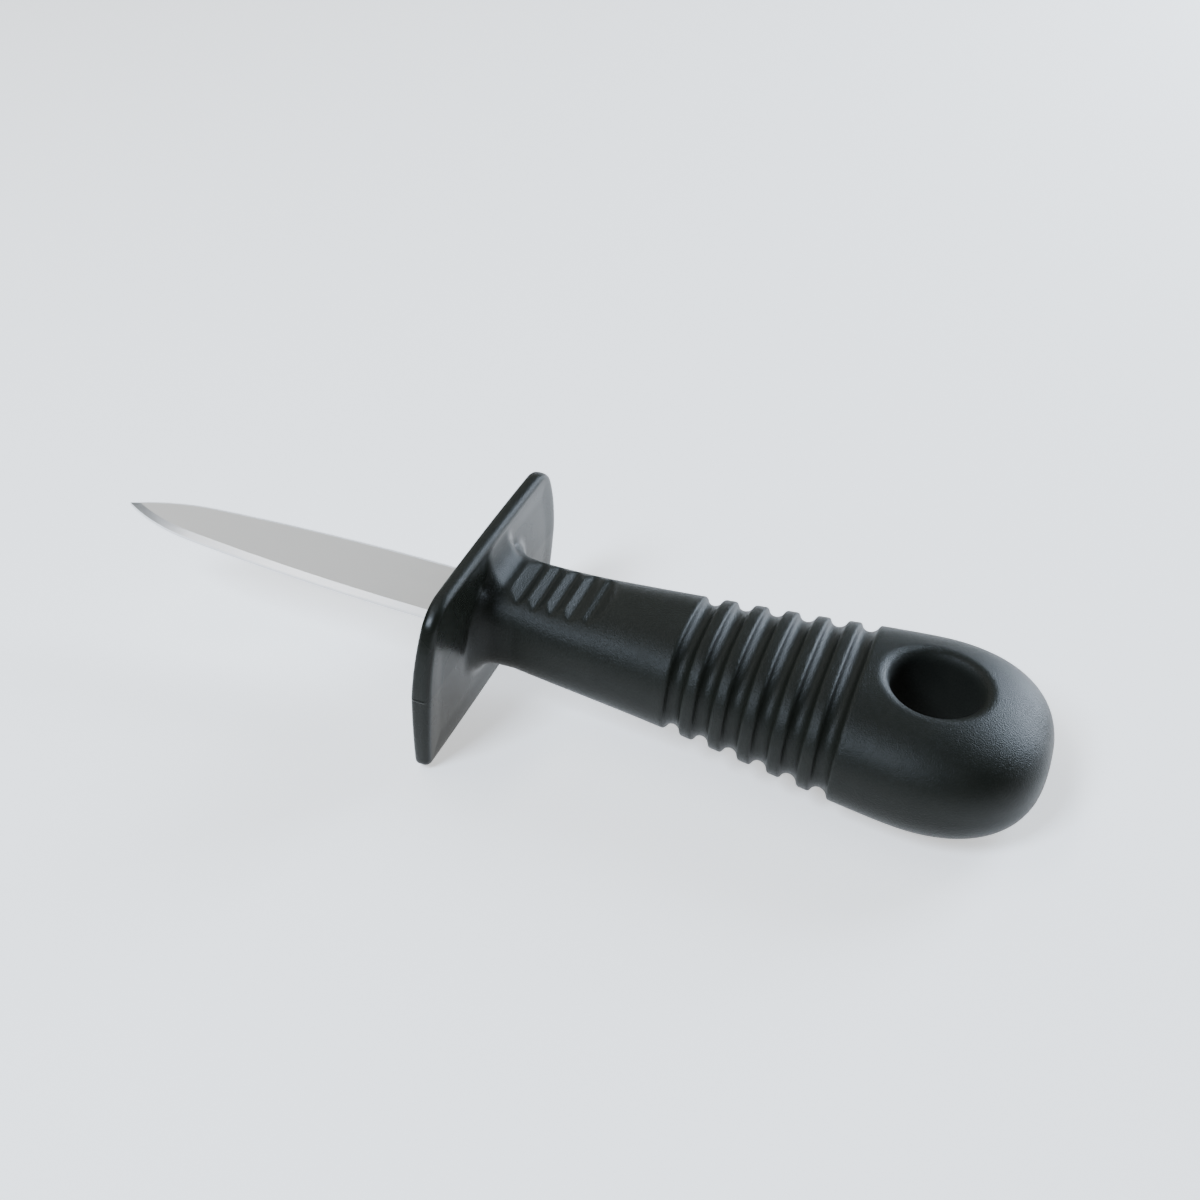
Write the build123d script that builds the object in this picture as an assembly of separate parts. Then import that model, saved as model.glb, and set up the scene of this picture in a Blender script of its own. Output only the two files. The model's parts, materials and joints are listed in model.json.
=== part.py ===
from build123d import *
import os
from math import atan2, cos, degrees, pi, radians, sin, sqrt

# Oyster knife: a short lancet blade moulded into a one-piece handle with a hand guard.
# It is built along its own axis: the blade points to -X and lies flat in XY, the pommel is at
# +X, and X = 0 is the middle of the guard. At the end the knife is laid down as it rests on a
# table, on the guard's lower flat and the belly of the pommel, with the origin under its middle.

# Blade, in front of the guard
blade_length = 70.7
blade_width = 15.4
blade_thickness = 1.8
bevel_width = 1.2
edge_thickness = 0.6
blade_parallel_length = 9.0
point_length = 15.0
point_half_width = 5.1
tip_half_angle = 31.0

# Tang, hidden in the handle
shoulder_depth = 4.0
tang_width = 9.0
tang_length = 58.0
tang_end_width = 5.0
tang_end_taper = 12.0
tang_hole_diameter = 4.0
tang_hole_shares = (0.34, 0.62, 0.9)

# Guard: a plate that is thickest at the parting plane and thinnest at its flats
guard_width = 55.6
guard_height = 32.0
guard_thickness = 3.6
guard_flat_thickness = 1.4
guard_end_bulge = 4.8
guard_flat_crown = 1.0
guard_corner_radius = 3.4
guard_front_bevel = 0.7
guard_rear_bevel = 0.2

# Flare of the neck into the guard: half widths lie in the blade's plane, heights square to it
flare_length = 6.5
flare_spread = 6.1
flare_drop = 0.9
flare_power = 2.2
flare_squareness = 2.5
flare_rise = 7.5
flare_rise_power = 6.0

# Neck, grip and pommel
neck_half_width = 9.5
neck_half_height = 7.0
neck_squareness = 2.9
grip_start_half_width = 12.6
grip_start_half_height = 9.2
grip_squareness = 2.5
grip_middle = 55.0
grip_middle_half_width = 16.0
grip_middle_half_height = 9.8
pommel_station = 76.0
pommel_half_width = 19.2
pommel_half_height = 10.5
pommel_squareness = 2.4
pommel_length = 21.6
pommel_roundness = 2.4

# Finger grooves round the grip
first_groove = 37.9
groove_pitch = 5.25
groove_count = 6
groove_width = 3.1
groove_depth = 1.25

# Hanging hole through the pommel, with mouths that open outwards
hole_station = 77.6
hole_diameter = 13.6
mouth_diameter = 19.4
mouth_depth = 2.6

# Thumb rest: the neck's raised top, cut by a hollow ramp down from the guard and then by steps
rest_length = 13.7
rest_rise = 1.3
rest_width = 13.6
ramp_top = 15.3
ramp_length = 2.0
ramp_foot_height = 8.4
ramp_hollow = 0.5
step_count = 5
step_pitch = 3.15
step_depth = 0.75
nose_depth = 0.1
riser_run = 1.4

# How far a cutting solid runs past its face, and the longest span between two sections
overrun = 1.0
section_spacing = 6.0

# Where sections stand, as shares of the flare's length, of half a groove's width and of a
# quarter turn round the pommel's end, and how many points shape one
flare_shares = (0.0, 0.12, 0.28, 0.5, 0.75)
groove_shares = (-1.0, -0.4, 0.4, 1.0)
pommel_turns = 7
section_points = 16


def smooth(x, stations, sizes):
    """A size at x, on a smooth curve through the sizes at the stations."""
    slopes = [(b - a) / (q - p) for a, b, p, q in zip(sizes, sizes[1:], stations, stations[1:])]
    tangents = [slopes[0]]
    for before, after in zip(slopes, slopes[1:]):
        same_way = before * after > 0
        tangents.append(2 * before * after / (before + after) if same_way else 0)
    tangents.append(slopes[-1])
    last = len(slopes) - 1
    k = next((i for i in range(last) if x <= stations[i + 1]), last)
    run = stations[k + 1] - stations[k]
    t = (x - stations[k]) / run
    return (
        (1 + 2 * t) * (1 - t) ** 2 * sizes[k]
        + t * (1 - t) ** 2 * run * tangents[k]
        + t * t * (3 - 2 * t) * sizes[k + 1]
        + t * t * (t - 1) * run * tangents[k + 1]
    )


guard_rear = guard_thickness / 2
guard_front = -guard_thickness / 2
neck_start = guard_rear + flare_length
grip_start = first_groove - groove_pitch / 2
groove_radius = (groove_width**2 / 4 + groove_depth**2) / (2 * groove_depth)
groove_centres = [first_groove + groove_pitch * index for index in range(groove_count)]
pommel_places = [
    pommel_station + pommel_length * sin(pi / 2 * index / pommel_turns) for index in range(pommel_turns)
]
stations = (neck_start, grip_start, grip_middle, pommel_station)
half_widths = (neck_half_width, grip_start_half_width, grip_middle_half_width, pommel_half_width)
half_heights = (neck_half_height, grip_start_half_height, grip_middle_half_height, pommel_half_height)
squarenesses = (neck_squareness, grip_squareness, grip_squareness, pommel_squareness)


def handle_section(x):
    """Half width, height above and below the axis, and squareness of the handle at x."""
    if x < neck_start:
        flared = min(1, (neck_start - x) / flare_length)
        left = flared**flare_power
        width = neck_half_width + flare_spread * left
        below = neck_half_height + flare_drop * left
        squareness = neck_squareness + (flare_squareness - neck_squareness) * left
    elif x <= pommel_station:
        width = smooth(x, stations, half_widths)
        below = smooth(x, stations, half_heights)
        squareness = smooth(x, stations, squarenesses)
    else:
        share = (x - pommel_station) / pommel_length
        fall = (1 - share**pommel_roundness) ** (1 / pommel_roundness)
        width, below = pommel_half_width * fall, pommel_half_height * fall
        squareness = pommel_squareness
    above = below + rest_rise * max(0, min(1, 1 - (x - neck_start) / rest_length)) ** 2
    if x < neck_start:
        above = neck_half_height + rest_rise + flare_rise * flared**flare_rise_power
    return width, above, below, squareness


def section(x, sink=0.0):
    """Face across the handle at x, sunk below its surface, as a rounded rectangle."""
    width, above, below, squareness = handle_section(x)
    points = []
    for index in range(section_points):
        turn = 2 * pi * (index + 1 / 2) / section_points
        side, rise = cos(turn), sin(turn)
        y = (width - sink) * abs(side) ** (2 / squareness)
        z = ((above if rise > 0 else below) - sink) * abs(rise) ** (2 / squareness)
        points.append((x, y if side > 0 else -y, z if rise > 0 else -z))
    return make_face(Spline(points, periodic=True))


def evenly(start, end):
    """Places from start up to end, no further apart than the section spacing."""
    spans = round((end - start) / section_spacing + 1 / 2)
    return [start + (end - start) * index / spans for index in range(spans)]


def handle_body():
    """The handle from the middle of the guard to the end of the pommel, grooves and all."""
    edge, last_edge = groove_centres[0] - groove_width / 2, groove_centres[-1] + groove_width / 2
    places = [0] + [guard_rear + flare_length * share for share in flare_shares]
    sections = [section(x) for x in places + evenly(neck_start, edge)]
    for centre in groove_centres:
        for share in groove_shares:
            off = groove_width / 2 * share
            sunk = sqrt(groove_radius**2 - off**2) - (groove_radius - groove_depth)
            sections.append(section(centre + off, sunk))
    sections += [section(x) for x in evenly(last_edge, pommel_station)[1:] + pommel_places]
    return loft(sections + [Vertex(pommel_station + pommel_length, 0, 0)], ruled=True)


def guard():
    """A disc with two crowned flats, thick at the parting plane and thin at the flats."""
    end, flat = guard_width / 2, guard_height / 2
    corner_y, corner_z = end - guard_end_bulge, flat - guard_flat_crown
    with BuildSketch(Plane.YZ) as outline:
        with BuildLine():
            ThreePointArc((-corner_y, corner_z), (0, flat), (corner_y, corner_z))
            ThreePointArc((corner_y, corner_z), (end, 0), (corner_y, -corner_z))
            ThreePointArc((corner_y, -corner_z), (0, -flat), (-corner_y, -corner_z))
            ThreePointArc((-corner_y, -corner_z), (-end, 0), (-corner_y, corner_z))
        make_face()
        fillet(outline.vertices(), guard_corner_radius)
    plate = extrude(outline.sketch, guard_thickness / 2, both=True)
    middle, thin = guard_thickness / 2, guard_flat_thickness / 2
    taper = [(-middle, 0), (-thin, flat), (thin, flat), (middle, 0), (thin, -flat), (-thin, -flat)]
    wedge = make_face(Plane.XZ * Polyline(*taper, close=True))
    plate = plate & extrude(wedge, end + overrun, both=True)
    front = [e for e in plate.edges() if e.geom_type != GeomType.LINE and e.center().X < 0]
    rear = [e for e in plate.edges() if e.geom_type != GeomType.LINE and e.center().X > 0]
    plate = chamfer(front, guard_front_bevel)
    return chamfer(rear, guard_rear_bevel)


def step_cutter():
    """Everything above the thumb rest's floor: a hollow ramp, then steps that follow the neck's top."""
    foot = guard_rear + ramp_length
    corners = [(foot, ramp_foot_height)]
    for index in range(step_count):
        foot += step_pitch
        depth = step_depth if index < step_count - 1 else step_depth / 2
        corners.append((foot - riser_run, handle_section(foot - riser_run)[1] - nose_depth))
        corners.append((foot, handle_section(foot)[1] - depth))
    start, far = (guard_rear, ramp_top), foot + step_pitch
    ramp = SagittaArc(start, corners[0], ramp_hollow)
    corners += [(far, handle_section(far)[1]), (far, guard_height), (guard_rear, guard_height), start]
    profile = make_face(Plane.XZ * (Curve() + [ramp, Polyline(*corners)]))
    return extrude(profile, rest_width / 2, both=True)


def hanging_hole():
    """The bore through the pommel and the opening at each of its mouths."""
    bore = Cylinder(hole_diameter / 2, 2 * pommel_half_height)
    narrow, wide = hole_diameter / 2, mouth_diameter / 2
    past = (wide - narrow) * overrun / mouth_depth
    mouth = Cone(narrow, wide + past, mouth_depth + overrun, align=(Align.CENTER, Align.CENTER, Align.MIN))
    mouth = Pos(0, 0, pommel_half_height - mouth_depth) * mouth
    return Pos(hole_station, 0, 0) * (bore + mouth + mirror(mouth, Plane.XY))


def blade_outline(inset, height):
    """The lancet's outline at a height, drawn in by an inset and shortened to match at the tip."""
    tip = guard_front - blade_length + inset / sin(radians(tip_half_angle))
    wide, shoulder = blade_width / 2 - inset, guard_front + shoulder_depth
    parallel = guard_front - blade_parallel_length
    point = (guard_front - blade_length + point_length, point_half_width - inset)
    first = TangentArc((parallel, wide), point, tangent=(-1, 0))
    second = TangentArc(point, (tip, 0), tangent=first % 1)
    side = Polyline((shoulder, 0), (shoulder, wide), (parallel, wide))
    half = Curve() + [side, first, second]
    return Pos(0, 0, height) * make_face(half + mirror(half, Plane.XZ))


def blade():
    """Lancet blade with a flat face, bevelled edges, and a holed tang for the moulding to grip."""
    half, edge = blade_thickness / 2, edge_thickness / 2
    layers = [(bevel_width, -half), (0, -edge), (0, edge), (bevel_width, half)]
    lancet = loft([blade_outline(inset, height) for inset, height in layers], ruled=True)
    start, end = guard_front + shoulder_depth - overrun, guard_front + tang_length
    corners = [
        (start, tang_width / 2), (end - tang_end_taper, tang_width / 2), (end, tang_end_width / 2),
        (end, -tang_end_width / 2), (end - tang_end_taper, -tang_width / 2), (start, -tang_width / 2),
    ]
    tang = extrude(make_face(Polyline(*corners, close=True)), half, both=True)
    for share in tang_hole_shares:
        centre = guard_front + tang_length * share
        tang -= Pos(centre, 0, 0) * Cylinder(tang_hole_diameter / 2, blade_thickness + overrun)
    return lancet + tang


def handle(inner):
    """Guard, neck, grip and pommel in one moulding, round the blade's tang."""
    moulding = handle_body() - step_cutter()
    moulding = moulding + guard()
    return moulding - hanging_hole() - inner


def laid_down(part, whole):
    """The part turned and moved as the whole knife rests on a table, its middle over the origin."""
    foot_x, foot_z = guard_flat_thickness / 2 - guard_rear_bevel, guard_height / 2
    leans = [atan2(foot_z - handle_section(x)[2], x - foot_x) for x in pommel_places]
    turn = Rot(0, degrees(min(leans)), 0)
    box = (turn * whole).bounding_box()
    return Pos(-box.center().X, -box.center().Y, -box.min.Z) * turn * part


def main():
    os.makedirs("parts", exist_ok=True)
    steel = blade()
    moulding = handle(steel)
    whole = Compound([steel, moulding])
    export_step(laid_down(steel, whole), "parts/blade.step")
    export_step(laid_down(moulding, whole), "parts/handle.step")


main()
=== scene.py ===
# %% [markdown]
# # An oyster knife
#
# This notebook dresses an oyster knife: a short steel lancet blade, moulded into a black
# polypropylene handle. The handle is one moulding. It starts in an upright guard for the hand,
# narrows to a neck with a stepped rest for the thumb, swells through six finger grooves and ends
# in a broad pommel with a hanging hole.
#
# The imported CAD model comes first. It is the frame: it says how large the knife is and where it
# lies, and everything below is built round it in metres.

# %% Load the frame and measure it
import bpy
import json
import math
from mathutils import Matrix, Vector


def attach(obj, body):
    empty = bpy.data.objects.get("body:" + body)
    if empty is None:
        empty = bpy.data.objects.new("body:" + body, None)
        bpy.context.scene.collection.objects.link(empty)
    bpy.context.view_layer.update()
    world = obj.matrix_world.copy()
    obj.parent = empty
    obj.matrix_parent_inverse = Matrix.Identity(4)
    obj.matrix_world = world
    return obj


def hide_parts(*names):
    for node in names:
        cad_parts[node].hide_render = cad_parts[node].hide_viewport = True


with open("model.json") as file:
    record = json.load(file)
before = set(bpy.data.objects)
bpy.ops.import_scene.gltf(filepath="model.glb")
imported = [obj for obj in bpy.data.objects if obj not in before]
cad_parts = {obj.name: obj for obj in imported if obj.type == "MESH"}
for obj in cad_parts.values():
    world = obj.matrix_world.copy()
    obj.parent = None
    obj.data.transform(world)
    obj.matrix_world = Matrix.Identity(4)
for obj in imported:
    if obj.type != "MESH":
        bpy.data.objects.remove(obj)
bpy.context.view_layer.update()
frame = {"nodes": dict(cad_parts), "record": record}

# %% [markdown]
# ## The knife's own axes
#
# A knife is drawn along its own axis and then laid on the table, where it tips down a little
# towards the pommel. So the shapes below use the knife's own axes in millimetres: the blade
# points to -X, X = 0 is the middle of the guard, and Z is square to the blade. The record's
# mount, the hanging hole, tells how those axes lie in the frame: its axis is the knife's Z, and
# its middle is the hole's station on the knife's X.

# %% Find how the knife lies
MM = 0.001
HOLE_STATION = 77.6
mount = frame["record"]["mounts"][0]
lean = math.atan2(mount["axis"][0], mount["axis"][2])
turn = Matrix.Rotation(lean, 4, "Y")
start = Vector(mount["pos_m"]) - turn @ Vector((HOLE_STATION * MM, 0, 0))
laid = Matrix.Translation(start) @ turn
print("the knife leans by", round(math.degrees(lean), 2), "degrees; guard at, mm:",
      [round(side / MM, 2) for side in start])

# %% [markdown]
# ## Sizes of the moulding
#
# A real handle like this is cut as a hollow in a steel mould, and its sizes are a handful of
# numbers. They are kept in one table, and each one becomes a named input of the node tree, so
# the handle can be changed from the modifier panel as well as from here.

# %% Name the handle's sizes, in millimetres
SIZES = {
    "Guard width": 56.2, "Guard height": 32.0, "Guard rise": 0.2,
    "Guard front": 1.5, "Guard rear": 1.15, "Guard draft": 0.35,
    "Guard upper bulge": 4.9, "Guard lower bulge": 1.1, "Guard flat crown": 0.55,
    "Guard upper corner": 3.3, "Guard lower corner": 1.4,
    "Guard front edge": 0.8, "Guard rear edge": 1.2, "Guard fillet": 3.3,
    "Dish depth": 0.15, "Dish inset": 1.6, "Dish spread": 4.0,
    "Flare start": 8.3, "Flare length": 6.5, "Flare spread": 1.0, "Flare power": 2.0,
    "Upper rise": 0.65,
    "Rest rise": 1.0, "Rest length": 13.7, "Rest end": 22.7, "Step edge": 0.15,
    "Ramp half width": 5.6, "Ramp narrowing": 0.1, "Ramp side": 2.0, "Ramp fillet": 1.8,
    "First groove": 37.9, "Groove pitch": 5.25, "Groove count": 6.0,
    "Groove width": 3.1, "Groove depth": 1.35, "Rib edge": 0.34,
    "Pommel station": 76.0, "Pommel length": 22.0, "Pommel roundness": 2.5,
    "Hole station": HOLE_STATION, "Hole diameter": 14.8, "Mouth radius": 2.5,
}
# Half width, half height and squareness of the handle at stations along it
PROFILE = (
    (8.3, 9.5, 7.0, 2.9),
    (35.3, 12.6, 9.2, 2.5),
    (55.0, 16.0, 9.8, 2.5),
    (69.0, 18.6, 10.3, 2.5),
    (78.0, 19.75, 10.5, 2.5),
    (86.0, 20.0, 10.5, 2.5),
)
print(len(SIZES), "sizes and", len(PROFILE), "stations")

# %% [markdown]
# ## Sums that become nodes
#
# The handle is described by one number at each point of space: how far that point is from the
# plastic's surface, negative inside. Geometry Nodes can work that number out with Math nodes,
# but a long sum takes dozens of them. This small class lets Python draw them: adding or
# multiplying two terms adds a Math node and links it. Materials use the same nodes, so the
# class serves them too.

# %% A term that draws its own Math nodes
class Term:
    """A number that flows through a node tree."""

    def __init__(self, tree, socket):
        self.tree, self.socket = tree, socket

    def math(self, operation, *others):
        node = self.tree.nodes.new("ShaderNodeMath")
        node.operation = operation
        for inlet, value in zip(node.inputs, (self, *others)):
            if isinstance(value, Term):
                self.tree.links.new(value.socket, inlet)
            else:
                inlet.default_value = value
        return Term(self.tree, node.outputs[0])

    def __add__(self, other):
        return self.math("ADD", other)

    def __sub__(self, other):
        return self.math("SUBTRACT", other)

    def __rsub__(self, other):
        return -self + other

    def __mul__(self, other):
        return self.math("MULTIPLY", other)

    def __neg__(self):
        return self * -1.0

    def __truediv__(self, other):
        return self.math("DIVIDE", other)

    def __rtruediv__(self, other):
        return (self ** -1.0) * other

    def __pow__(self, other):
        return self.math("POWER", other)

    def __abs__(self):
        return self.math("ABSOLUTE")

    def root(self):
        return self.math("SQRT")

    def at_least(self, other):
        return self.math("MAXIMUM", other)

    def at_most(self, other):
        return self.math("MINIMUM", other)

    def within(self, low, high):
        return self.at_least(low).at_most(high)

    def feed(self, inlet):
        """Link the number to the socket where it is used."""
        self.tree.links.new(self.socket, inlet)


def length(a, b):
    """How long the diagonal over two sides is."""
    return (a * a + b * b).root()


print("a Term adds, subtracts, multiplies, divides and takes powers and roots")

# %% [markdown]
# ## Edges with a radius
#
# On a moulding no edge is sharp. Where two solids are joined or cut, the distance can be rounded
# at the same time: the first two functions take the two distances and the radius of the edge,
# and give a round fillet or a round arris of just that radius. The third reads a size from a
# curve through a few points, as a draughtsman reads it from a profile.

# %% Join with a fillet, cut with a rounded edge, and read a curve
def joined(a, b, radius):
    """Distance to two solids together, with a fillet where they meet."""
    inside = length((radius - a).at_least(0.0), (radius - b).at_least(0.0))
    return a.at_most(b).at_least(radius) - inside


def common(a, b, radius):
    """Distance to what two solids share, with a rounded edge where they meet."""
    outside = length((a + radius).at_least(0.0), (b + radius).at_least(0.0))
    return a.at_least(b).at_most(-radius) + outside


def profile(tree, place, points, smooth=True):
    """A size at a place, read from a curve through the points (place, size)."""
    (low, _), (high, _) = points[0], points[-1]
    top = max(size for _, size in points)
    node = tree.nodes.new("ShaderNodeFloatCurve")
    curve = node.mapping.curves[0]
    while len(curve.points) < len(points):
        curve.points.new(0.5, 0.5)
    for point, (where, size) in zip(curve.points, points):
        point.location = ((where - low) / (high - low), size / top)
        point.handle_type = "AUTO_CLAMPED" if smooth else "VECTOR"
    node.mapping.extend = "HORIZONTAL"
    node.mapping.update()
    ((place - low) / (high - low)).within(0.0, 1.0).feed(node.inputs["Value"])
    return Term(tree, node.outputs[0]) * top


print("three helpers: joined, common and profile")

# %% [markdown]
# ## The grip: a rounded rectangle that grows
#
# Across the knife, the handle is a superellipse: rounder than a rectangle, fuller than an
# ellipse. Its width and height follow the profile from neck to pommel, the neck spreads into
# the guard, and past the pommel's station the section closes on a rounded end. The usual way
# is a loft through a dozen sections. A formula gives the same form with no seam, and the grooves
# and steps can then be cut from it by more sums.

# %% The distance to the plain grip
# These keep the sums away from a division by zero on the handle's axis
LEAST_ACROSS, LEAST_SLOPE = 0.05, 0.02


def grip_distance(tree, size, x, y, z):
    """Distance to the handle before its grooves, steps and hole are cut."""
    width = profile(tree, x, [(place, half) for place, half, _, _ in PROFILE])
    height = profile(tree, x, [(place, half) for place, _, half, _ in PROFILE])
    power = profile(tree, x, [(place, square) for place, _, _, square in PROFILE])
    spread = ((size["Flare start"] - x) / size["Flare length"]).within(0.0, 1.0)
    width = width + size["Flare spread"] * spread ** size["Flare power"]
    rest = (1.0 - (x - size["Flare start"]) / size["Rest length"]).within(0.0, 1.0)
    upper = z.math("GREATER_THAN", 0.0)
    height = height + (size["Upper rise"] + size["Rest rise"] * rest * rest) * upper
    side, rise = abs(y) / width, abs(z) / height
    across = (side ** power + rise ** power) ** (1.0 / power)
    across = across.at_least(LEAST_ACROSS)
    steep = length(side ** (power - 1.0) / width, rise ** (power - 1.0) / height)
    steep = steep / across ** (power - 1.0)
    end = ((x - size["Pommel station"]) / size["Pommel length"]).at_least(0.0)
    roundness = size["Pommel roundness"]
    whole = (across ** roundness + end ** roundness) ** (1.0 / roundness)
    slope = length(steep * (across / whole) ** (roundness - 1.0),
                   (end / whole) ** (roundness - 1.0) / size["Pommel length"])
    return (whole - 1.0) / slope.at_least(LEAST_SLOPE)


print("the pommel ends", SIZES["Pommel station"] + SIZES["Pommel length"],
      "mm behind the guard's middle")

# %% [markdown]
# ## The finger grooves
#
# Six round grooves run round the grip, evenly spaced, so that wet fingers don't slip. Each could
# be a ring cut away by hand. Here each is a tube laid round the grip, and rounding the place
# along the knife to the nearest groove repeats one tube as often as the count says.

# %% Cut the finger grooves
def grooved(size, grip, x):
    """The grip with its grooves, whose edges are rounded."""
    along = x - size["First groove"]
    last = size["Groove count"] - 1.0
    number = (along / size["Groove pitch"]).math("ROUND").within(0.0, last)
    beside = along - number * size["Groove pitch"]
    depth, half = size["Groove depth"], size["Groove width"] / 2.0
    radius = (half * half + depth * depth) / (depth * 2.0)
    tube = length(beside, grip - (radius - depth)) - radius
    return common(grip, -tube, size["Rib edge"])


print(int(SIZES["Groove count"]), "grooves,", SIZES["Groove pitch"], "mm apart")

# %% [markdown]
# ## The thumb rest
#
# The top of the neck has five low steps, so that the thumb doesn't slide. They could be boxes
# cut away one by one. A floor seen from the side is simpler: its corners are the crests and feet
# of the steps, and whatever lies above it is cut away.

# %% Cut the steps of the thumb rest
RAMP_FOOT, REST_EXIT = (4.2, 8.05), (23.2, 9.25)
# Where each step's crest and foot lie, along the knife and above its axis
STEPS = (
    ((5.3, 8.5), (7.6, 7.45)),
    ((8.9, 8.15), (10.8, 7.25)),
    ((12.2, 8.1), (13.9, 7.25)),
    ((15.5, 8.1), (17.1, 7.3)),
    ((18.9, 8.05), (20.2, 7.65)),
)


def rested(tree, size, body, x, z):
    """The body with the steps cut into the top of its neck."""
    corners = [corner for step in STEPS for corner in step]
    floor = [(0.0, RAMP_FOOT[1]), RAMP_FOOT, *corners, REST_EXIT]
    away = (profile(tree, x, floor, smooth=False) - z).at_least(x - size["Rest end"])
    return common(body, -away, size["Step edge"])


print("the thumb rest has", len(STEPS), "steps")

# %% [markdown]
# ## The ramp
#
# Between the steps and the guard a block slopes up, at about 47 degrees at its foot and 57 at its
# top. It stops the thumb and stiffens the guard. It could be a plain wedge, but this one is
# slightly hollow and has round sides, so it is drawn as a curve that gives x at each height.

# %% Raise the ramp
RAMP = ((7.0, 5.3), (8.2, 4.2), (9.5, 3.1), (10.8, 2.1), (12.2, 1.1), (14.5, -0.4))
RAMP_TOP, RAMP_ROOT = 14.0, 5.0
# The distance along the knife is longer than the one square to the slope, so it is scaled down
RAMP_SCALE = 0.92


def ramp_distance(tree, size, x, y, z):
    """Distance to the ramp between the neck and the guard."""
    slope = (x - profile(tree, z, RAMP)) * RAMP_SCALE
    half = size["Ramp half width"] - (z - RAMP[1][0]).at_least(0.0) * size["Ramp narrowing"]
    block = common(slope, abs(y) - half, size["Ramp side"])
    block = common(block, z - RAMP_TOP, size["Guard rear edge"])
    return block.at_least(RAMP_ROOT - z).at_least(-x)


print("the ramp rises to", RAMP_TOP, "mm above the knife's axis")

# %% [markdown]
# ## The guard
#
# The guard is an upright plate that keeps the hand off the shell and the blade. Its outline is
# four flat arcs with round corners, and it is thickest where the mould parts, because the draft
# that lets it out of the mould thins it towards its top and bottom. A plate with a bevel would
# do from afar. Here the arcs, the draft, a slight dish in the rear face and two different edge
# radii are all part of one sum.

# %% Shape the guard
def guard_distance(size, x, y, z):
    """Distance to the guard: four flat arcs, round corners, and a slightly dished plate."""
    upper = z.math("GREATER_THAN", 0.0)
    end = size["Guard width"] / 2.0
    flat = size["Guard height"] / 2.0 + size["Guard rise"] * upper
    bulge = size["Guard upper bulge"] * upper + size["Guard lower bulge"] * (1.0 - upper)
    corner = size["Guard upper corner"] * upper + size["Guard lower corner"] * (1.0 - upper)
    crown = size["Guard flat crown"]
    corner_y, corner_z = end - bulge, flat - crown
    top_radius = (corner_y * corner_y + crown * crown) / (crown * 2.0)
    end_radius = (corner_z * corner_z + bulge * bulge) / (bulge * 2.0)
    top = length(y, abs(z) - (flat - top_radius)) - top_radius
    side = length(abs(y) - (end - end_radius), z) - end_radius
    outline = common(top, side, corner)
    draft = size["Guard draft"] * (1.0 - abs(z) / flat)
    dish = ((-outline - size["Dish inset"]) / size["Dish spread"]).within(0.0, 1.0)
    dish = dish * dish * (3.0 - dish * 2.0) * size["Dish depth"]
    front = common(outline, -x - size["Guard front"] - draft, size["Guard front edge"])
    rear = common(outline, x - size["Guard rear"] - draft + dish, size["Guard rear edge"])
    return front.at_least(rear)


print("the guard is", SIZES["Guard front"] + SIZES["Guard rear"], "mm thick at its flats")

# %% [markdown]
# ## The whole handle
#
# The grip comes first, then its grooves and steps. The guard and the ramp are joined on with
# fillets, and the hanging hole is bored last: it is a plain cylinder, and the large radius of
# its edge makes the soft mouth. The grip starts at the guard's rear face, so that its fillet
# doesn't swell the front one. The sum is a node group, because the handle's tree asks for it
# many times.

# %% Put the whole handle together
def named_inputs(tree):
    """Give a tree one named input for each size."""
    for name, value in SIZES.items():
        socket = tree.interface.new_socket(name, in_out="INPUT", socket_type="NodeSocketFloat")
        socket.default_value = value


def handle_group():
    """The node group that gives the distance to the handle's surface at a place."""
    tree = bpy.data.node_groups.new("handle distance", "GeometryNodeTree")
    tree.interface.new_socket("Place", in_out="INPUT", socket_type="NodeSocketVector")
    named_inputs(tree)
    tree.interface.new_socket("Distance", in_out="OUTPUT", socket_type="NodeSocketFloat")
    inlet, outlet = tree.nodes.new("NodeGroupInput"), tree.nodes.new("NodeGroupOutput")
    apart = tree.nodes.new("ShaderNodeSeparateXYZ")
    tree.links.new(inlet.outputs["Place"], apart.inputs[0])
    x, y, z = (Term(tree, socket) for socket in apart.outputs)
    size = {name: Term(tree, inlet.outputs[name]) for name in SIZES}
    body = grooved(size, grip_distance(tree, size, x, y, z), x)
    body = body.at_least(size["Guard rear"] - x)
    body = rested(tree, size, body, x, z)
    body = joined(body, guard_distance(size, x, y, z), size["Guard fillet"])
    body = joined(body, ramp_distance(tree, size, x, y, z), size["Ramp fillet"])
    bore = size["Hole diameter"] / 2.0 - length(x - size["Hole station"], y)
    common(body, bore, size["Mouth radius"]).feed(outlet.inputs["Distance"])
    return tree


distance_group = handle_group()
print("the handle's distance takes", len(distance_group.nodes), "nodes")

# %% [markdown]
# ## From a distance to a skin
#
# Volume Cube samples the distance on a fine grid, and Volume to Mesh draws a skin of even
# quads where it is zero. The grid leaves small steps, so Set Position then moves each point
# straight onto the true surface: the distance, divided by its own slope, says how far to go.
# Three such moves are enough.

# %% Move a skin onto the true surface
GRID_LOW, GRID_HIGH = (-3.0, -29.0, -17.5), (99.0, 29.0, 17.5)
GRID_STEP = 0.41
SLOPE_STEP = 0.05
LEAST_STEEPNESS = 0.2


def placed_distance(tree, inlet, place):
    """A copy of the distance group in a tree, fed with the modifier's sizes."""
    node = tree.nodes.new("GeometryNodeGroup")
    node.node_tree = distance_group
    tree.links.new(place, node.inputs["Place"])
    for name in SIZES:
        tree.links.new(inlet.outputs[name], node.inputs[name])
    return Term(tree, node.outputs["Distance"])


def moved(tree, place, offset):
    """A place with an offset added."""
    node = tree.nodes.new("ShaderNodeVectorMath")
    tree.links.new(place, node.inputs[0])
    node.inputs[1].default_value = offset
    return node.outputs[0]


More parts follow.
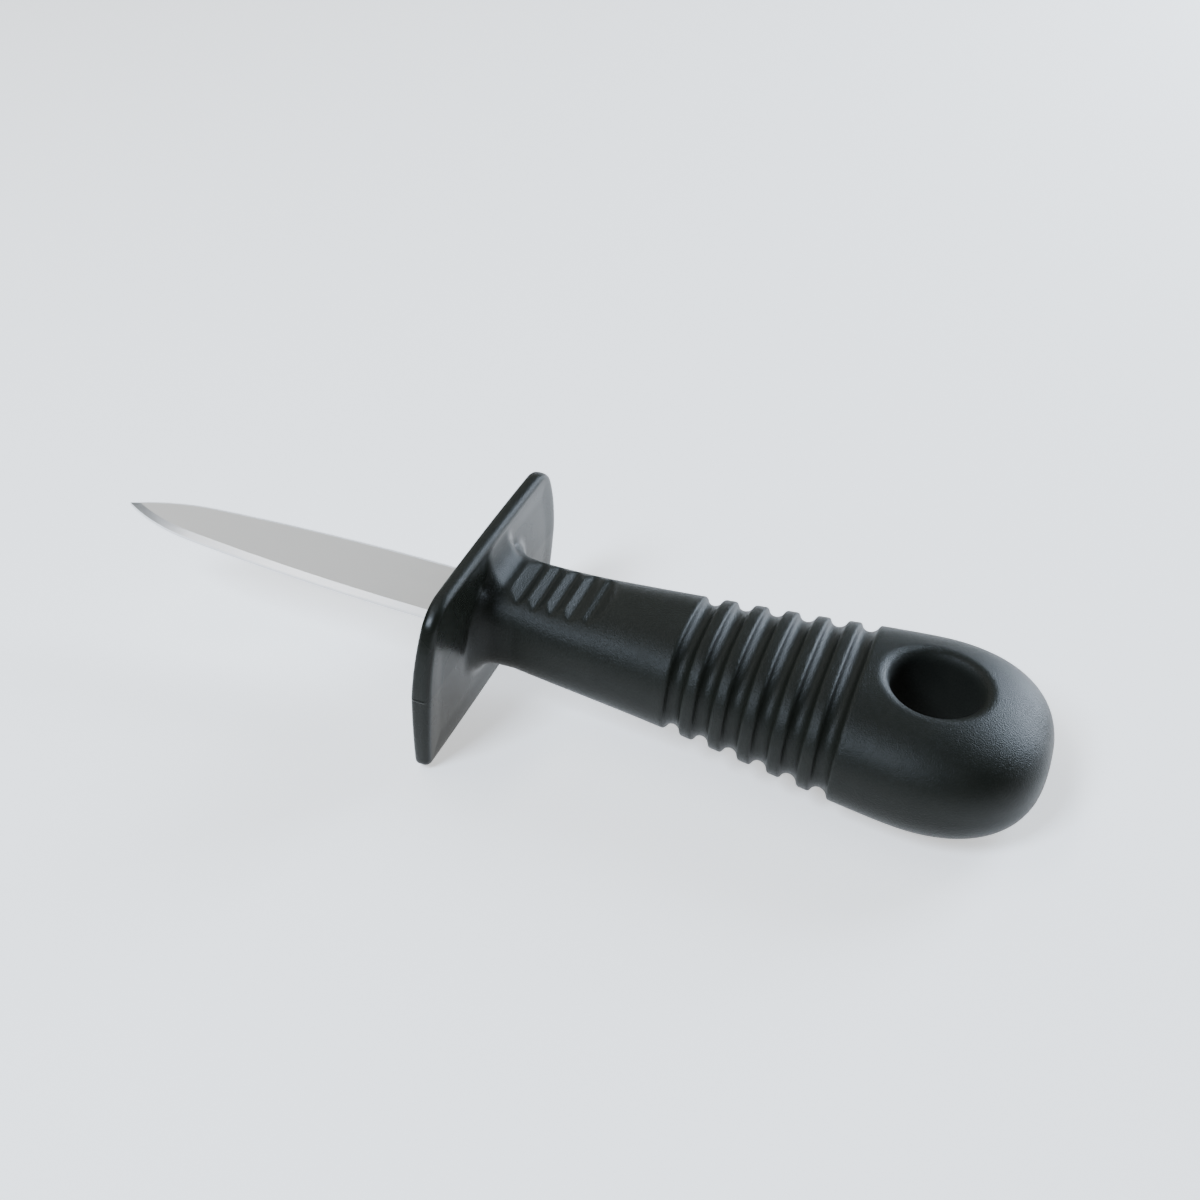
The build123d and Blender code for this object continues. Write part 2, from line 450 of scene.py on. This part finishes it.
def settled(tree, inlet, mesh):
    """The mesh with each point moved onto the surface, along the distance's slope."""
    place = tree.nodes.new("GeometryNodeInputPosition").outputs[0]
    here = placed_distance(tree, inlet, place)
    slopes = []
    for axis in range(3):
        step = [SLOPE_STEP if axis == other else 0.0 for other in range(3)]
        ahead = placed_distance(tree, inlet, moved(tree, place, step))
        behind = placed_distance(tree, inlet, moved(tree, place, [-side for side in step]))
        slopes.append((ahead - behind) / (2 * SLOPE_STEP))
    steep = slopes[0] * slopes[0] + slopes[1] * slopes[1] + slopes[2] * slopes[2]
    scale = (-here / steep.at_least(LEAST_STEEPNESS)).within(-GRID_STEP, GRID_STEP)
    way = tree.nodes.new("ShaderNodeCombineXYZ")
    for socket, slope in zip(way.inputs, slopes):
        (slope * scale).feed(socket)
    node = tree.nodes.new("GeometryNodeSetPosition")
    tree.links.new(mesh, node.inputs["Geometry"])
    tree.links.new(way.outputs[0], node.inputs["Offset"])
    return node.outputs[0]


print("the grid's step is", GRID_STEP, "mm")

# %% [markdown]
# ## The handle's node tree
#
# The tree takes the named sizes, draws the skin and settles it. At the end it scales the
# millimetres to metres, tips the knife as it lies, realises the result and gives it its
# material, because an export keeps only what is real.

# %% Build the handle's node tree
SETTLING_MOVES = 3
SKIN_LEVEL = 1.0
LAST_NODES = ("GeometryNodeSetShadeSmooth", "GeometryNodeRealizeInstances",
              "GeometryNodeSetMaterial")


def handle_tree(material):
    """The tree that turns the named sizes into the handle's mesh, in place and in metres."""
    tree = bpy.data.node_groups.new("moulded handle", "GeometryNodeTree")
    named_inputs(tree)
    tree.interface.new_socket("Geometry", in_out="OUTPUT", socket_type="NodeSocketGeometry")
    inlet, outlet = tree.nodes.new("NodeGroupInput"), tree.nodes.new("NodeGroupOutput")
    grid = tree.nodes.new("GeometryNodeVolumeCube")
    place = tree.nodes.new("GeometryNodeInputPosition").outputs[0]
    density = SKIN_LEVEL - placed_distance(tree, inlet, place)
    density.within(0.0, 2.0 * SKIN_LEVEL).feed(grid.inputs["Density"])
    grid.inputs["Min"].default_value, grid.inputs["Max"].default_value = GRID_LOW, GRID_HIGH
    for axis, low, high in zip("XYZ", GRID_LOW, GRID_HIGH):
        grid.inputs["Resolution " + axis].default_value = round((high - low) / GRID_STEP) + 1
    skin = tree.nodes.new("GeometryNodeVolumeToMesh")
    tree.links.new(grid.outputs[0], skin.inputs["Volume"])
    skin.inputs["Threshold"].default_value = SKIN_LEVEL
    mesh = skin.outputs[0]
    for _ in range(SETTLING_MOVES):
        mesh = settled(tree, inlet, mesh)
    lay = tree.nodes.new("GeometryNodeTransform")
    tree.links.new(mesh, lay.inputs["Geometry"])
    lay.inputs["Translation"].default_value = start
    lay.inputs["Rotation"].default_value = (0.0, lean, 0.0)
    lay.inputs["Scale"].default_value = (MM, MM, MM)
    last = lay.outputs[0]
    for kind in LAST_NODES:
        node = tree.nodes.new(kind)
        tree.links.new(last, node.inputs["Geometry"])
        last = node.outputs[0]
    node.inputs["Material"].default_value = material
    tree.links.new(last, outlet.inputs["Geometry"])
    return tree


print("the tree settles its skin", SETTLING_MOVES, "times")

# %% [markdown]
# ## Patterns on the piece itself
#
# A finish is more than a colour: it has grain, and its gloss wanders. Both come from noise that
# reads Object coordinates, so its grain has a real size in metres and stays on the piece when
# the piece moves. Part of the plastic's finish follows the knife's own axes, which a Mapping
# node finds again from how the knife lies. An image could hold all this too, but it would need
# a file and would blur close up.

# %% Helpers for materials
NOISE_RANGE = (0.3, 0.7)


def new_material(name):
    """A new node material, with its tree and its shader."""
    material = bpy.data.materials.new(name)
    material.use_nodes = True
    return material, material.node_tree, material.node_tree.nodes["Principled BSDF"]


def mapped(tree):
    """A Mapping node fed with Object coordinates."""
    where, mapping = tree.nodes.new("ShaderNodeTexCoord"), tree.nodes.new("ShaderNodeMapping")
    tree.links.new(where.outputs["Object"], mapping.inputs["Vector"])
    return mapping


def noise(tree, scale, detail=2.0, stretch=(1.0, 1.0, 1.0)):
    """A noise on the object's own coordinates, with a number of grains to the metre."""
    mapping = mapped(tree)
    mapping.inputs["Scale"].default_value = stretch
    texture = tree.nodes.new("ShaderNodeTexNoise")
    texture.inputs["Scale"].default_value = scale
    texture.inputs["Detail"].default_value = detail
    tree.links.new(mapping.outputs[0], texture.inputs["Vector"])
    return Term(tree, texture.outputs[0])


def ranged(term, low, high, between=NOISE_RANGE):
    """A number that goes from low to high while the term crosses a range."""
    node = term.tree.nodes.new("ShaderNodeMapRange")
    for name, value in zip(("From Min", "From Max", "To Min", "To Max"), (*between, low, high)):
        node.inputs[name].default_value = value
    term.feed(node.inputs["Value"])
    return Term(term.tree, node.outputs[0])


def knife_axes(tree):
    """The place in the knife's own axes, in millimetres, as three terms."""
    mapping = mapped(tree)
    mapping.vector_type = "TEXTURE"
    mapping.inputs["Location"].default_value = start
    mapping.inputs["Rotation"].default_value = (0.0, lean, 0.0)
    mapping.inputs["Scale"].default_value = (MM, MM, MM)
    apart = tree.nodes.new("ShaderNodeSeparateXYZ")
    tree.links.new(mapping.outputs[0], apart.inputs[0])
    return [Term(tree, socket) for socket in apart.outputs]


def dented(height, shader, strength, depth):
    """Let a height dent the surface that a shader lights."""
    node = height.tree.nodes.new("ShaderNodeBump")
    node.inputs["Strength"].default_value = strength
    node.inputs["Distance"].default_value = depth
    height.feed(node.inputs["Height"])
    height.tree.links.new(node.outputs[0], shader.inputs["Normal"])


print("noise is read between", *NOISE_RANGE)

# %% [markdown]
# ## Black polypropylene
#
# The plastic is nearly black, half glossy, and finely pebbled: the mould was spark eroded, which
# leaves a skin of tiny dimples. So the colour is almost flat and the life is in the gloss: a fine
# noise gives the pebbles as bump, and a broad one makes the roughness wander a little. The
# guard's rear face came from a polished part of the mould, the bore is duller, and where the
# mould parts, a hair of plastic stands along the guard.

# %% Make the plastic
PLASTIC_IOR, PLASTIC_SHEEN = 1.49, 0.17
DARK_BLACK, LIGHT_BLACK = (0.005, 0.006, 0.0045, 1.0), (0.009, 0.010, 0.0075, 1.0)
CLOUDS_PER_METRE, GLOSS_PER_METRE, PEBBLES_PER_METRE = 240.0, 90.0, 4600.0
POLISHED, PEBBLED_MORE, BORE_MORE, WANDER = 0.18, 0.16, 0.4, (0.05, 0.10)
POLISHED_PEBBLES = 0.1
# Where one finish gives way to the next, in millimetres
FACE_TO_NECK, FACE_TO_RIM, BORE_TO_POMMEL = (1.5, 2.0), (14.2, 15.2), (7.4, 8.2)
SEAM_WIDTH, SEAM_END = (0.08, 0.3), (0.6, 1.2)


def polypropylene():
    """Black moulded plastic: pebbled, but polished on the guard's rear face."""
    material, tree, shader = new_material("black_polypropylene")
    shader.inputs["IOR"].default_value = PLASTIC_IOR
    shader.inputs["Specular IOR Level"].default_value = PLASTIC_SHEEN
    colour = tree.nodes.new("ShaderNodeMix")
    colour.data_type = "RGBA"
    colour.inputs["A"].default_value = DARK_BLACK
    colour.inputs["B"].default_value = LIGHT_BLACK
    noise(tree, CLOUDS_PER_METRE).feed(colour.inputs["Factor"])
    tree.links.new(colour.outputs["Result"], shader.inputs["Base Color"])
    along, across, height = knife_axes(tree)
    away = abs(height)
    rim = ranged(away, 0.0, 1.0, FACE_TO_RIM)
    pebbled = ranged(along, POLISHED_PEBBLES, 1.0, FACE_TO_NECK).at_least(rim)
    bore = ranged(length(along - HOLE_STATION, across), BORE_MORE, 0.0, BORE_TO_POMMEL)
    dull = ranged(noise(tree, GLOSS_PER_METRE), *WANDER)
    rough = pebbled * PEBBLED_MORE + POLISHED + bore + dull
    rough.feed(shader.inputs["Roughness"])
    seam = ranged(away, 1.0, 0.0, SEAM_WIDTH) * ranged(along, 1.0, 0.0, SEAM_END)
    grain = noise(tree, PEBBLES_PER_METRE) * pebbled
    dented(grain + seam, shader, strength=0.9, depth=0.0001)
    return material


black = polypropylene()
print("material:", black.name, "with", len(black.node_tree.nodes), "nodes")

# %% [markdown]
# ## Grow the handle
#
# The tree runs as a modifier on an empty mesh. Its inputs are set by their identifiers before it
# is first evaluated, the result is kept as a plain mesh, and the modifier is thrown away. The
# piece then stands for the CAD handle and rides with it.

# %% Run the tree and keep the result
def grown(name, tree, values):
    """A plain mesh object, made by running a tree once with these values."""
    mesh = bpy.data.meshes.new(name)
    piece = bpy.data.objects.new(name, mesh)
    bpy.context.scene.collection.objects.link(piece)
    modifier = piece.modifiers.new(name, "NODES")
    modifier.node_group = tree
    for item in tree.interface.items_tree:
        if item.in_out == "INPUT" and item.name in values:
            modifier[item.identifier] = float(values[item.name])
    view = bpy.context.evaluated_depsgraph_get()
    result = bpy.data.meshes.new_from_object(piece.evaluated_get(view), depsgraph=view)
    piece.modifiers.clear()
    piece.data = result
    bpy.data.meshes.remove(mesh)
    result.name = name
    return piece


handle = grown("moulded_handle", handle_tree(black), SIZES)
print("the handle has", len(handle.data.polygons), "faces")

# %% Let it stand for the CAD handle
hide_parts("handle")
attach(handle, "root")
print(handle.name, "replaces the CAD node handle")

# %% [markdown]
# ## The blade
#
# The blade is plain stainless steel with a satin face and a ground bevel, so the CAD model's own
# mesh is right and only wants its finish. Satin steel is drawn along the blade on a fine belt:
# the scratches are long in X and hair thin across. The bevel is the same steel at another
# angle, and it looks brighter where it catches a lamp.

# %% Make the steel and give it to the blade
STEEL_COLOUR = (0.72, 0.72, 0.73, 1.0)
STEEL_ROUGHNESS = (0.32, 0.40)
LINES_PER_METRE, LINES_DETAIL, ALONG_BLADE = 1500.0, 3.0, (0.015, 3.0, 3.0)


def stainless():
    """Satin stainless steel with fine lines along the blade."""
    material, tree, shader = new_material("stainless_steel")
    shader.inputs["Metallic"].default_value = 1.0
    shader.inputs["Base Color"].default_value = STEEL_COLOUR
    lines = noise(tree, LINES_PER_METRE, LINES_DETAIL, ALONG_BLADE)
    ranged(lines, *STEEL_ROUGHNESS).feed(shader.inputs["Roughness"])
    dented(lines, shader, strength=0.08, depth=0.00002)
    return material


blade = frame["nodes"]["blade"]
blade.data.materials.clear()
blade.data.materials.append(stainless())
print("the blade keeps its", len(blade.data.polygons), "CAD faces")

# %% [markdown]
# ## The floor
#
# A catalogue picture has a white floor without an edge. A sheet of white paper would do it in a
# studio. Here the sheet also glows, so the knife's shadows stay pale, as they do on a table lit
# from below, and its sides pick up some light.

# %% Lay the floor
FLOOR_REACH = 3.0
FLOOR_WHITE, GLOW_WHITE, GLOW = (0.9, 0.9, 0.9, 1.0), (1.0, 1.0, 1.0, 1.0), 0.8
FLOOR_ROUGHNESS = 0.9
SKY = (0.12, 0.13, 0.12, 1.0)


def floor():
    """A wide white sheet that the knife lies on."""
    mesh = bpy.data.meshes.new("floor")
    corners = [(x * FLOOR_REACH, y * FLOOR_REACH, 0) for x, y in ((-1, -1), (1, -1), (1, 1), (-1, 1))]
    mesh.from_pydata(corners, [], [(0, 1, 2, 3)])
    sheet = bpy.data.objects.new("floor", mesh)
    bpy.context.scene.collection.objects.link(sheet)
    material, _, shader = new_material("floor_white")
    shader.inputs["Base Color"].default_value = FLOOR_WHITE
    shader.inputs["Roughness"].default_value = FLOOR_ROUGHNESS
    shader.inputs["Emission Color"].default_value = GLOW_WHITE
    shader.inputs["Emission Strength"].default_value = GLOW
    mesh.materials.append(material)
    return sheet


sheet = floor()
world =bpy.data.worlds.new("studio")
bpy.context.scene.world = world
world.use_nodes = True
world.node_tree.nodes["Background"].inputs["Color"].default_value = SKY
print("the floor is", 2 * FLOOR_REACH, "m wide")

# %% [markdown]
# ## The lights
#
# Black plastic shows little of its own colour, so what is seen is mostly the lights' reflection,
# and their places matter more than their strength. One softbox overhead lights the near side,
# one behind draws lines along the far edges, and a wide one far behind and a narrow strip above
# are there for the blade. One large dome would be simpler, but it would grey the plastic all
# over.

# %% Hang the lights
AIM = Vector((0.0, 0.0, 0.01))
COOL, WARM, WHITE = (0.72, 0.84, 1.0), (1.0, 1.0, 0.97), (1.0, 1.0, 1.0)
# Name, place and size in metres, watts, colour
SOFTBOXES = (
    ("overhead", (-0.24, -0.50, 0.66), (0.24, 0.32), 10.5, COOL),
    ("behind", (0.45, 0.66, 0.28), (0.38, 0.58), 14.0, COOL),
    ("wall", (-0.62, 0.98, 0.80), (0.9, 0.7), 2.4, WARM),
    ("strip", (-0.36, 0.03, 0.80), (0.60, 0.16), 2.0, WHITE),
)

for name, place, (wide, tall), power, colour in SOFTBOXES:
    lamp = bpy.data.lights.new(name, "AREA")
    lamp.shape, lamp.size, lamp.size_y = "RECTANGLE", wide, tall
    lamp.energy, lamp.color = power, colour
    light = bpy.data.objects.new(name, lamp)
    light.location = place
    light.rotation_euler = (Vector(place) - AIM).to_track_quat("Z", "Y").to_euler()
    bpy.context.scene.collection.objects.link(light)
print(len(SOFTBOXES), "softboxes hang")

# %% [markdown]
# ## The camera
#
# The photograph was taken from the near side, about 37 degrees above the table, with the knife
# running from the upper left to the lower right. The camera stands on a sphere round a target on
# the knife's axis, and its place was found by matching the outline of the guard, the grooves,
# the hole and the blade's tip.

# %% Set up the camera
TARGET = Vector((20.0, 0.0, 0.0)) * MM
AZIMUTH, ELEVATION, ROLL = math.radians(17.182), math.radians(37.188), math.radians(5.08)
DISTANCE, ACROSS, UPWARD = 274.8 * MM, 0.694 * MM, 6.379 * MM
LENS, SENSOR, NEAREST = 47.87, 36.0, 0.01

level = math.cos(ELEVATION)
back = Vector((math.sin(AZIMUTH) * level, -math.cos(AZIMUTH) * level, math.sin(ELEVATION)))
straight_right = Vector((math.cos(AZIMUTH), math.sin(AZIMUTH), 0.0))
straight_up = back.cross(straight_right)
right = straight_right * math.cos(ROLL) + straight_up * math.sin(ROLL)
up = straight_up * math.cos(ROLL) - straight_right * math.sin(ROLL)
eye = TARGET + back * DISTANCE + right * ACROSS + up * UPWARD
camera = bpy.data.objects.new("camera", bpy.data.cameras.new("camera"))
camera.data.sensor_width, camera.data.lens = SENSOR, LENS
camera.data.clip_start = NEAREST
bpy.context.scene.collection.objects.link(camera)
facing = Matrix((right, up, back)).transposed().to_4x4()
camera.matrix_world = laid @ Matrix.Translation(eye) @ facing
bpy.context.scene.camera = camera
print("the camera stands", round(DISTANCE, 3), "m from the knife")
